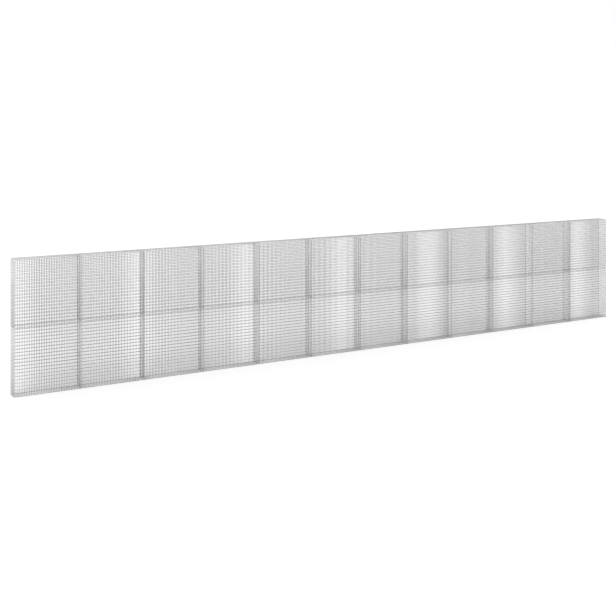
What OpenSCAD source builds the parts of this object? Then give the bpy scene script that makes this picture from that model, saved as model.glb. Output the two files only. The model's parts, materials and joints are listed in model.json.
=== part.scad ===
// Slim gabion wall: a long row of empty welded-mesh bays, each two panels high,
// tied together with spirals and closed by one hinged lid a bay.
// Millimetres. X runs along the wall, Y from front to back, Z up.
// The origin is at ground level, in the middle of the wall's footprint.

/* [Wall] */
// Number of bays in the row
bay_count = 12; // [2:1:12]
// Length of one bay along the wall
bay_w = 1000; // [700:10:1300]
// Depth of the wall, over its front and back panels
wall_d = 200; // [140:5:300]
// Number of panels one above the other
tier_count = 2; // [1:1:2]
// Height of one tier of panels
tier_h = 1000; // [700:10:1250]

/* [Mesh] */
// Thickness of a welded panel: two wires, one across the other
panel_t = 8; // [5:0.5:12]
// Width of one lattice bar, which stands for five wires side by side
bar_w = 15; // [10:0.5:20]
// Largest distance between bars across the short side of a cell
cell_short = 125; // [80:5:200]
// Largest distance between bars along the long side of a cell
cell_long = 250; // [160:10:400]

/* [Joints between panels] */
// Gap between neighbouring panels, which their spiral bridges
panel_gap = 4; // [2:0.5:6]
// Side of the square bar that holds the place of a spiral
spiral_bar = 4.5; // [3:0.5:7]
// Height of the slot between a lid and what it closes
lid_gap = 7; // [6:0.5:12]
// Gap between neighbouring lids
lid_side_gap = 6; // [5:0.5:12]

/* [Hidden] */
wall_l = bay_count * bay_w;
wall_h = tier_count * tier_h;
half_l = wall_l / 2;
half_d = wall_d / 2;
sides = [-1, 1];
// Depth left between the front and back panels
inner_d = wall_d - 2 * panel_t;
// Top of the uppermost panels, under the lids
rim_z = wall_h - panel_t - lid_gap;

function two_digits(n) = n < 10 ? str("0", n) : str(n);
function bay_node(kind, bay) = str(kind, "_bay_", two_digits(bay));

bays = [1:bay_count];
tiers = [1:tier_count];
inner_lines = [1:bay_count - 1];

// Where the line between two bays crosses the X axis; line 0 is the wall's left end
function line_x(line) = line * bay_w - half_l;

// A panel stops short of a line that it shares with a neighbour
function panel_left(bay) = line_x(bay - 1) + (bay == 1 ? 0 : panel_gap / 2);
function panel_right(bay) = line_x(bay) - (bay == bay_count ? 0 : panel_gap / 2);

function tier_bottom(tier) = (tier - 1) * tier_h + (tier == 1 ? 0 : panel_gap / 2);
function tier_top(tier) = tier == tier_count ? rim_z : tier * tier_h - panel_gap / 2;

function cells(length, largest) = max(1, ceil((length - bar_w) / largest - 0.25));

// Flat lattice in the XZ plane, from the origin, with its thickness along +Y
module lattice(width, height, cell_x, cell_z) {
    across = cells(width, cell_x);
    up = cells(height, cell_z);
    step_x = (width - bar_w) / across;
    step_z = (height - bar_w) / up;
    for (i = [0:across])
        translate([i * step_x, 0, 0]) cube([bar_w, panel_t, height]);
    for (j = [0:up])
        translate([0, 0, j * step_z]) cube([width, panel_t, bar_w]);
}

// One standing panel in every tier, from left to right, with its near face at y
module wall_panel(left, right, y) {
    for (tier = tiers)
        translate([left, y, tier_bottom(tier)])
            lattice(right - left, tier_top(tier) - tier_bottom(tier), cell_short, cell_long);
}

module front_panel(bay) {
    color("silver") wall_panel(panel_left(bay), panel_right(bay), -half_d);
}

module back_panel(bay) {
    color("silver") wall_panel(panel_left(bay), panel_right(bay), half_d - panel_t);
}

// One panel across the wall in every tier, with its left face at x
module cross_panel(x) {
    for (tier = tiers)
        translate([x + panel_t, -inner_d / 2, tier_bottom(tier)])
            rotate([0, 0, 90])
                lattice(inner_d, tier_top(tier) - tier_bottom(tier), cell_short, cell_long);
}

module left_end_panel() {
    color("silver") cross_panel(-half_l);
}

module right_end_panel() {
    color("silver") cross_panel(half_l - panel_t);
}

module dividers() {
    color("darkgray")
        for (line = inner_lines)
            cross_panel(line_x(line) - panel_t / 2);
}

// Flat lattice on the XY plane, from left to right, centred on the wall's depth
module flat_panel(left, right, depth, z) {
    translate([left, -depth / 2, z + panel_t])
        rotate([-90, 0, 0])
            lattice(right - left, depth, cell_short, cell_long);
}

// The floor of each bay lies between its four standing sides
module base_panels() {
    color("darkgray")
        for (bay = bays) {
            left = line_x(bay - 1) + (bay == 1 ? panel_t : panel_t / 2);
            right = line_x(bay) - (bay == bay_count ? panel_t : panel_t / 2);
            flat_panel(left, right, inner_d, 0);
        }
}

// The hinge spiral winds round a lid's back edge, and the lid turns there
module lid(bay) {
    color("gainsboro")
        flat_panel(
            line_x(bay - 1) + lid_side_gap / 2,
            line_x(bay) - lid_side_gap / 2,
            wall_d,
            wall_h - panel_t
        );
}

// Upright bars in the corners between the long sides and the panels across the wall
module corner_spirals() {
    color("gray")
        for (line = [0:bay_count], side = sides) {
            face_x = line_x(line)
                + (line == 0 ? panel_t : line == bay_count ? -panel_t - spiral_bar : panel_t / 2);
            translate([face_x, side * (inner_d - spiral_bar) / 2 - spiral_bar / 2, panel_t])
                cube([spiral_bar, spiral_bar, rim_z - panel_t]);
        }
}

// Level bars against the inner face of a long side, one a bay, clear of the corner bars.
// side is -1 for the front and 1 for the back.
module level_spirals(side, bottom, height) {
    clear = panel_t + spiral_bar;
    for (bay = bays)
        translate([
            line_x(bay - 1) + clear,
            side * (inner_d - spiral_bar) / 2 - spiral_bar / 2,
            bottom
        ])
            cube([bay_w - 2 * clear, spiral_bar, height]);
}

// Between the floor of each bay and its long sides
module base_spirals() {
    color("gray")
        for (side = sides)
            level_spirals(side, panel_t, spiral_bar);
}

// Across the seam between two tiers
module tier_spirals() {
    height = panel_gap + 2 * spiral_bar;
    color("gray")
        for (tier = tiers, side = sides)
            if (tier < tier_count)
                level_spirals(side, tier * tier_h - height / 2, height);
}

// Along the rim of the back panels, below the lids' turning edge
module lid_hinge_spirals() {
    color("gray") level_spirals(1, rim_z - spiral_bar, spiral_bar);
}

// Along the rim of the front panels, below the lids' free edge
module lid_closing_spirals() {
    color("gray") level_spirals(-1, rim_z - spiral_bar, spiral_bar);
}

for (bay = bays) {
    front_panel(bay);
    back_panel(bay);
    lid(bay);
}
left_end_panel();
right_end_panel();
dividers();
base_panels();
corner_spirals();
base_spirals();
tier_spirals();
lid_hinge_spirals();
lid_closing_spirals();
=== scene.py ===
"""The gabion wall's looks: each wire of its welded mesh, its spirals, their zinc, a studio and a camera.

Metres, in the CAD frame: X along the wall, Y from its front to its back, Z up from the ground.
"""

import json
import math

import bmesh
import bpy
import numpy as np
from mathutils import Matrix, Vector

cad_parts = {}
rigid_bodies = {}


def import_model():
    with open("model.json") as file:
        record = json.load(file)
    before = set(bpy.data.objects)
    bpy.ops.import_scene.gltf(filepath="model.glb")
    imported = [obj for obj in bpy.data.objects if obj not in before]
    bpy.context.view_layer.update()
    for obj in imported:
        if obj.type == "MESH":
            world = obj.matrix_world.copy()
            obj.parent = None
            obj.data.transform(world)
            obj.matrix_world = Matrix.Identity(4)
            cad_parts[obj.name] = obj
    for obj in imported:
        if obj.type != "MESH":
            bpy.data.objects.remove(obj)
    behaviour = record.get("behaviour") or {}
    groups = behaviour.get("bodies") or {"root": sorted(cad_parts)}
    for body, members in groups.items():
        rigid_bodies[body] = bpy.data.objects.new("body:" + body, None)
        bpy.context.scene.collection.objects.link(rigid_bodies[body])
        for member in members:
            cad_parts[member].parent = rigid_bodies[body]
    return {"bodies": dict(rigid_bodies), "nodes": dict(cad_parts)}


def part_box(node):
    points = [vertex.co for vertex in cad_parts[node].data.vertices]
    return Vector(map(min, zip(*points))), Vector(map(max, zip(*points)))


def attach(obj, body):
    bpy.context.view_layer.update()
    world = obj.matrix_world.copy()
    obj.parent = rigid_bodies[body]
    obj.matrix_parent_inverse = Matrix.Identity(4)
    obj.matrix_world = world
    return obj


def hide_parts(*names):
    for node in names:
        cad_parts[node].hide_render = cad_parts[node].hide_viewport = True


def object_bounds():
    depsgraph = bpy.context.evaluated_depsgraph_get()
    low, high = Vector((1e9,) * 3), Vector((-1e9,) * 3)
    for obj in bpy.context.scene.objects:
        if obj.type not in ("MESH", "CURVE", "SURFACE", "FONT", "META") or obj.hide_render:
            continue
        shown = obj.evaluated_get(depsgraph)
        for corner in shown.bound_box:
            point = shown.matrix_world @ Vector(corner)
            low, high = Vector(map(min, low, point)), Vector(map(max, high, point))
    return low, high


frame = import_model()
cad_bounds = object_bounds()

X, Y, Z = 0, 1, 2
SAME_CORNER = 1e-5  # CAD corners nearer than this are one corner

# Welded mesh
WIRE_R = 0.002  # radius of a mesh wire
CELL_SHORT = 0.025  # distance between the wires across a cell's short side
CELL_LONG = 0.050  # distance between the wires along its long side
WELD_SINK = 0.0006  # how far two crossing wires are pressed into each other
EDGE_STUB = 0.0035  # from a panel's edge to the middle of its outermost wire
WIRE_SIDES = 8
SPARE_CELL = 0.25  # a rest under this share of a cell widens the others, and gets no wire of its own

# Spirals
SPIRAL_WIRE_R = 0.00175
SPIRAL_R = 0.012  # radius of the turns, at the middle of the wire
SPIRAL_STEPS = 12  # straight steps to a turn
SPIRAL_SIDES = 6
GROUND_STUB = 2 * SPIRAL_WIRE_R + WIRE_R  # the foot's spirals pass under the lowest level wires
LID_RISE = 0.001  # from the middle of the slot under a lid to the middle of its spirals
CELLS_A_TURN = 2  # along the level seams
LEAD = 0.5  # where in a cell a turn has its top, as a share of the cell
HINGE_CELLS_A_TURN = 1  # so that the lid's wires swing between the turns
HINGE_LEAD = 0.57  # keeps the slanted turns clear of those wires

# Zinc
METALLIC = 0.75
ROUGHNESS = 0.48
SPIRAL_ROUGHNESS = 0.42

# Studio and camera
SKY_STRENGTH = 0.65
FLOOR_REACH = 400.0
FLOOR_GREY = 0.8
FLOOR_GLOW = 0.33
KEY_STRENGTH = 1.2
KEY_ANGLE = math.radians(30)
KEY_FROM = Vector((-0.45, -0.7, 1.0))
CAMERA_PLACE = Vector((-9.68, -14.81, 3.99))
CAMERA_BACK = Vector((-0.505, -0.863, 0.0))  # level, and opposite to where it looks
LENS_MM = 58.8
SHIFT_Y = -0.302

BAYS = sum(name.startswith("front_panel_bay_") for name in frame["nodes"])
CAGE = next(body for body in frame["bodies"] if not body.startswith("lid"))


# ---------------------------------------------------------------- shapes

class Tubes:
    """Collects tubes and makes them one mesh: smooth round the wire, with flat ends."""

    def __init__(self):
        self.points = []
        self.sides = []
        self.caps = []
        self.count = 0

    def add(self, path, radius, sides):
        """A tube along an array of points, closed at both ends."""
        path = np.asarray(path, float)
        along = np.gradient(path, axis=0)
        along /= np.linalg.norm(along, axis=1)[:, None]
        across = first_normals(along)
        third = np.cross(along, across)
        turn = 2 * math.pi * (np.arange(sides) + 0.5) / sides
        rings = path[:, None, :] + radius * (
            np.cos(turn)[None, :, None] * across[:, None, :]
            + np.sin(turn)[None, :, None] * third[:, None, :]
        )
        self.points.append(rings.reshape(-1, 3))
        ring = np.arange(len(path) - 1)[:, None] * sides + self.count
        a = np.arange(sides)[None, :]
        b = (a + 1) % sides
        quads = np.stack([ring + a, ring + b, ring + b + sides, ring + a + sides], -1)
        self.sides.append(quads.reshape(-1, 4))
        last = self.count + (len(path) - 1) * sides
        self.caps.append(self.count + np.arange(sides)[::-1])
        self.caps.append(last + np.arange(sides))
        self.count += len(path) * sides

    def wire(self, start, end):
        """A straight mesh wire."""
        self.add([start, end], WIRE_R, WIRE_SIDES)

    def spiral(self, start, end, face, turns):
        """A helix from start to end, whose first turn begins in the direction face."""
        start, end, face = (np.asarray(v, float) for v in (start, end, face))
        length = np.linalg.norm(end - start)
        axis = (end - start) / length
        share = np.linspace(0, 1, round(turns * SPIRAL_STEPS) + 1)[:, None]
        angle = 2 * math.pi * turns * share
        round_it = np.cos(angle) * face + np.sin(angle) * np.cross(axis, face)
        self.add(start + share * (end - start) + SPIRAL_R * round_it, SPIRAL_WIRE_R, SPIRAL_SIDES)

    def build(self, name, body, material, node):
        """Makes the mesh, and says what it rides on and which CAD node it stands for."""
        faces = np.concatenate(self.sides).tolist() + [cap.tolist() for cap in self.caps]
        mesh = bpy.data.meshes.new(name)
        mesh.from_pydata(np.concatenate(self.points).tolist(), [], faces)
        smooth = np.ones(len(faces), bool)
        smooth[len(faces) - len(self.caps):] = False
        mesh.polygons.foreach_set("use_smooth", smooth)
        mesh.materials.append(material)
        mesh.validate()
        piece = bpy.data.objects.new(name, mesh)
        bpy.context.scene.collection.objects.link(piece)
        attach(piece, body)
        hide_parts(node)


def first_normals(along):
    """For each direction of a path, a direction across it that turns little from one to the next."""
    if len(along) > 2:
        aside = helix_axis(along)
    else:
        aside = (1.0, 0.0, 0.0) if runs_up(along[0]) else (0.0, 0.0, 1.0)
    across = np.cross(along, aside)
    return across / np.linalg.norm(across, axis=1)[:, None]


def helix_axis(along):
    """The direction that a helix runs in, from the directions along its wire."""
    mean = along.mean(axis=0)
    return mean / np.linalg.norm(mean)


def runs_up(direction):
    """Whether a direction is nearly upright."""
    return abs(direction[Z]) > 0.9


def solid_boxes(node):
    """The lowest and highest corner of each separate solid in a CAD node."""
    work = bmesh.new()
    work.from_mesh(frame["nodes"][node].data)
    bmesh.ops.remove_doubles(work, verts=work.verts, dist=SAME_CORNER)
    left = set(work.verts)
    boxes = []
    while left:
        reach = [left.pop()]
        found = []
        while reach:
            vert = reach.pop()
            found.append(vert.co.copy())
            for edge in vert.link_edges:
                other = edge.other_vert(vert)
                if other in left:
                    left.remove(other)
                    reach.append(other)
        corners = np.array(found)
        boxes.append((corners.min(axis=0), corners.max(axis=0)))
    work.free()
    return sorted(boxes, key=lambda box: tuple(box[0].round(4)))


def spread(low, high, cell):
    """Even places from low to high, about cell apart."""
    cells = max(1, math.ceil((high - low) / cell - SPARE_CELL))
    return np.linspace(low, high, cells + 1)


def uprights(node):
    """X of each wire that runs up a standing panel, or across a lid."""
    low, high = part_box(node)
    return spread(low.x + EDGE_STUB, high.x - EDGE_STUB, CELL_SHORT)


def low_stub(bottom):
    """From a standing panel's lower edge to its lowest level wire."""
    return GROUND_STUB if bottom < GROUND_STUB else EDGE_STUB


def welded_panel(tubes, low, high, fine, coarse, outer):
    """Fills a flat box with welded wires.

    fine and coarse are the axes along which the wires are CELL_SHORT and CELL_LONG apart.
    outer is 1 or -1: the side of the box, along its thin axis, where the fine row's wires lie.
    """
    thin = X + Y + Z - fine - coarse
    face = high[thin] if outer > 0 else low[thin]
    fine_level = face - outer * WIRE_R
    coarse_level = fine_level - outer * (2 * WIRE_R - WELD_SINK)
    first_level = low_stub(low[coarse]) if coarse == Z else EDGE_STUB
    rows = (
        (fine, coarse, CELL_SHORT, fine_level, EDGE_STUB),
        (coarse, fine, CELL_LONG, coarse_level, first_level),
    )
    for step_axis, run_axis, cell, level, first in rows:
        for place in spread(low[step_axis] + first, high[step_axis] - EDGE_STUB, cell):
            start, end = np.zeros(3), np.zeros(3)
            start[thin] = end[thin] = level
            start[step_axis] = end[step_axis] = place
            start[run_axis], end[run_axis] = low[run_axis], high[run_axis]
            tubes.wire(start, end)


# ---------------------------------------------------------------- materials

def zinc(name, shade, roughness=ROUGHNESS, tier_height=1.0, foot=1.0, ground=1.0):
    """Weathered galvanising: dull grey with a fine spangle.

    foot is the shade's share at the foot of each tier: each tier is darker towards its foot. ground is
    what the
    shade is multiplied by at the ground: painted light that brightens the lowest wires to make up for
    the shade near the floor. It fades out over the height of one tier.
    """
    material = bpy.data.materials.new(name)
    material.use_nodes = True
    nodes, links = material.node_tree.nodes, material.node_tree.links
    shader = nodes["Principled BSDF"]
    shader.inputs["Metallic"].default_value = METALLIC

    place = nodes.new("ShaderNodeTexCoord").outputs["Object"]

    def noise(scale, detail):
        node = nodes.new("ShaderNodeTexNoise")
        node.inputs["Scale"].default_value = scale
        node.inputs["Detail"].default_value = detail
        links.new(place, node.inputs["Vector"])
        return node.outputs["Fac"]

    def ramp(value, low, high):
        node = nodes.new("ShaderNodeMapRange")
        node.inputs["To Min"].default_value = low
        node.inputs["To Max"].default_value = high
        links.new(value, node.inputs["Value"])
        return node.outputs[0]

    def times(first, second):
        node = nodes.new("ShaderNodeMath")
        node.operation = "MULTIPLY"
        links.new(first, node.inputs[0])
        links.new(second, node.inputs[1])
        return node.outputs[0]

    height = nodes.new("ShaderNodeSeparateXYZ")
    links.new(place, height.inputs[0])
    tiers_up = nodes.new("ShaderNodeMath")
    tiers_up.operation = "DIVIDE"
    tiers_up.inputs[1].default_value = tier_height
    links.new(height.outputs["Z"], tiers_up.inputs[0])
    in_tier = nodes.new("ShaderNodeMath")
    in_tier.operation = "FRACT"
    links.new(tiers_up.outputs[0], in_tier.inputs[0])

    spangle = ramp(noise(scale=420, detail=2), low=0.86, high=1.14)
    patches = ramp(noise(scale=5, detail=3), low=0.90, high=1.10)
    rise = ramp(in_tier.outputs[0], low=foot, high=1.0)
    # painted light: the shade is raised towards the ground, ground times at z = 0 and back to 1 a tier
    # up, to make up for the shade near the floor
    painted_ground_light = ramp(tiers_up.outputs[0], low=ground, high=1.0)
    value = times(times(spangle, patches), times(rise, painted_ground_light))

    colour = nodes.new("ShaderNodeMix")
    colour.data_type = "RGBA"
    colour.blend_type = "MULTIPLY"
    colour.inputs["Factor"].default_value = 1.0
    colour.inputs["A"].default_value = (shade, shade, shade, 1.0)
    links.new(value, colour.inputs["B"])
    links.new(colour.outputs["Result"], shader.inputs["Base Color"])
    worn = ramp(noise(scale=160, detail=3), low=roughness - 0.12, high=roughness + 0.14)
    links.new(worn, shader.inputs["Roughness"])

    bump = nodes.new("ShaderNodeBump")
    bump.inputs["Strength"].default_value = 0.35
    bump.inputs["Distance"].default_value = 0.0003
    links.new(noise(scale=700, detail=3), bump.inputs["Height"])
    links.new(bump.outputs["Normal"], shader.inputs["Normal"])
    return material


def split_by_ray(nodes, links, seen, unseen, surface):
    """Mixes two shaders: seen for the camera and for reflections, unseen for the light on things."""
    path = nodes.new("ShaderNodeLightPath")
    looks = path.outputs["Is Camera Ray"]
    for kind in ("Is Glossy Ray", "Is Transmission Ray"):
        either = nodes.new("ShaderNodeMath")
        either.operation = "MAXIMUM"
        links.new(looks, either.inputs[0])
        links.new(path.outputs[kind], either.inputs[1])
        looks = either.outputs[0]
    mix = nodes.new("ShaderNodeMixShader")
    links.new(looks, mix.inputs[0])
    links.new(unseen, mix.inputs[1])
    links.new(seen, mix.inputs[2])
    links.new(mix.outputs[0], surface)


# ---------------------------------------------------------------- the cage

def seam_height():
    """Where one tier of panels meets the next."""
    low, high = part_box("tier_spirals")
    return (low.z + high.z) / 2


def line_places():
    """X of the wall's left end, of each line between two bays, and of its right end."""
    boxes = [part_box(f"front_panel_bay_{bay:02d}") for bay in range(1, BAYS + 1)]
    inner = [(a[1].x + b[0].x) / 2 for a, b in zip(boxes, boxes[1:])]
    return [boxes[0][0].x, *inner, boxes[-1][1].x]


def make_panels(sides, across, lids):
    """The long sides, what stands or lies across between them, and the lids, each in its finish."""

    def panel(node, body, finish, fine, coarse, outer):
        tubes = Tubes()
        for low, high in solid_boxes(node):
            welded_panel(tubes, low, high, fine, coarse, outer)
        tubes.build(f"{node}_wires", body, finish, node)

    for bay in range(1, BAYS + 1):
        panel(f"front_panel_bay_{bay:02d}", CAGE, sides, X, Z, -1)
        panel(f"back_panel_bay_{bay:02d}", CAGE, sides, X, Z, 1)
        panel(f"lid_bay_{bay:02d}", f"lid_{bay:02d}", lids, X, Y, 1)
    panel("left_end_panel", CAGE, across, Y, Z, -1)
    panel("right_end_panel", CAGE, across, Y, Z, 1)
    panel("dividers", CAGE, across, Y, Z, -1)
    panel("base_panels", CAGE, across, X, Y, -1)


def make_spirals(finish):
    """Helical wires along the seams between the panels."""
    low, high = cad_bounds
    panel_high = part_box("front_panel_bay_01")[1]
    middle = (panel_high.y - low.y) / 2  # from an outer face to the middle of its panel
    front, back = low.y + middle, high.y - middle
    left, *lines, right = line_places()

    corner = Tubes()
    for x in (left + middle, *lines, right - middle):
        for outward, y in ((-1, front), (1, back)):
            for tier_low, tier_high in solid_boxes("front_panel_bay_01"):
                bottom, top = tier_low[Z], tier_high[Z]
                levels = spread(bottom + low_stub(bottom), top - EDGE_STUB, CELL_LONG)
                corner.spiral((x, y, levels[0]), (x, y, levels[-1]), (0, outward, 0), len(levels) - 1)
    corner.build("corner_spiral_wires", CAGE, finish, "corner_spirals")

    def level(name, node, rows, z, tied="front_panel", cells_a_turn=CELLS_A_TURN, lead=LEAD):
        """A spiral in each bay, at height z and each Y in rows, with turns between tied's wires."""
        tubes = Tubes()
        for y in rows:
            for bay in range(1, BAYS + 1):
                wires = uprights(f"{tied}_bay_{bay:02d}")
                cell = wires[1] - wires[0]
                tubes.spiral(
                    (wires[0] + lead * cell, y, z),
                    (wires[-2] + lead * cell, y, z),
                    (0, 0, 1),
                    (len(wires) - 2) / cells_a_turn,
                )
        tubes.build(name, CAGE, finish, node)

    under_lid = (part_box("lid_bay_01")[0].z + panel_high.z) / 2 + LID_RISE
    level("base_spiral_wires", "base_spirals", (front, back), SPIRAL_R + SPIRAL_WIRE_R)
    level("tier_spiral_wires", "tier_spirals", (front, back), seam_height())
    level("lid_hinge_spiral_wires", "lid_hinge_spirals", (back,), under_lid, "lid",
          HINGE_CELLS_A_TURN, HINGE_LEAD)
    level("lid_closing_spiral_wires", "lid_closing_spirals", (front,), under_lid, "lid")


# ---------------------------------------------------------------- studio and camera

def make_studio():
    """A white floor and backdrop, soft light from the upper left, and the camera."""
    scene = bpy.context.scene
    scene.view_settings.view_transform = "Standard"

    world = bpy.data.worlds.new("studio")
    scene.world = world
    world.use_nodes = True
    nodes, links = world.node_tree.nodes, world.node_tree.links
    nodes.clear()
    seen = nodes.new("ShaderNodeBackground")
    unseen = nodes.new("ShaderNodeBackground")
    for sky, strength in ((seen, 1.0), (unseen, SKY_STRENGTH)):
        sky.inputs["Color"].default_value = (1.0, 1.0, 1.0, 1.0)
        sky.inputs["Strength"].default_value = strength
    output = nodes.new("ShaderNodeOutputWorld")
    split_by_ray(nodes, links, seen.outputs[0], unseen.outputs[0], output.inputs["Surface"])

    mesh = bpy.data.meshes.new("floor")
    corners = [(FLOOR_REACH * x, FLOOR_REACH * y, 0) for x, y in ((-1, -1), (1, -1), (1, 1), (-1, 1))]
    mesh.from_pydata(corners, [], [(0, 1, 2, 3)])
    floor = bpy.data.objects.new("floor", mesh)
    scene.collection.objects.link(floor)
    paint = bpy.data.materials.new("floor_paint")
    paint.use_nodes = True
    nodes, links = paint.node_tree.nodes, paint.node_tree.links
    nodes.clear()
    matt = nodes.new("ShaderNodeBsdfDiffuse")
    matt.inputs["Color"].default_value = (FLOOR_GREY, FLOOR_GREY, FLOOR_GREY, 1.0)
    glow = nodes.new("ShaderNodeEmission")
    glow.inputs["Strength"].default_value = FLOOR_GLOW
    both = nodes.new("ShaderNodeAddShader")
    links.new(matt.outputs[0], both.inputs[0])
    links.new(glow.outputs[0], both.inputs[1])
    output = nodes.new("ShaderNodeOutputMaterial")
    split_by_ray(nodes, links, both.outputs[0], matt.outputs[0], output.inputs["Surface"])
    mesh.materials.append(paint)

    sun = bpy.data.lights.new("key", "SUN")
    sun.energy = KEY_STRENGTH
    sun.angle = KEY_ANGLE
    key = bpy.data.objects.new("key", sun)
    key.rotation_euler = KEY_FROM.to_track_quat("Z", "Y").to_euler()
    scene.collection.objects.link(key)

    view = bpy.data.cameras.new("camera")
    view.sensor_width = 36.0
    view.lens = LENS_MM
    view.shift_y = SHIFT_Y
    view.clip_end = 5 * FLOOR_REACH
    camera = bpy.data.objects.new("camera", view)
    camera.location = CAMERA_PLACE
    camera.rotation_euler = CAMERA_BACK.to_track_quat("Z", "Y").to_euler()
    scene.collection.objects.link(camera)
    scene.camera = camera


make_studio()
make_panels(
    # zinc_sides: each tier darker towards its foot, and painted light that brightens the lowest wires to
    # make up for the shade near the floor
    sides=zinc("zinc_sides", shade=0.17, tier_height=seam_height(), foot=0.72, ground=2.1),
    across=zinc("zinc_across", shade=0.68),
    lids=zinc("zinc_lids", shade=0.58),
)
make_spirals(zinc("zinc_spirals", shade=0.76, roughness=SPIRAL_ROUGHNESS))
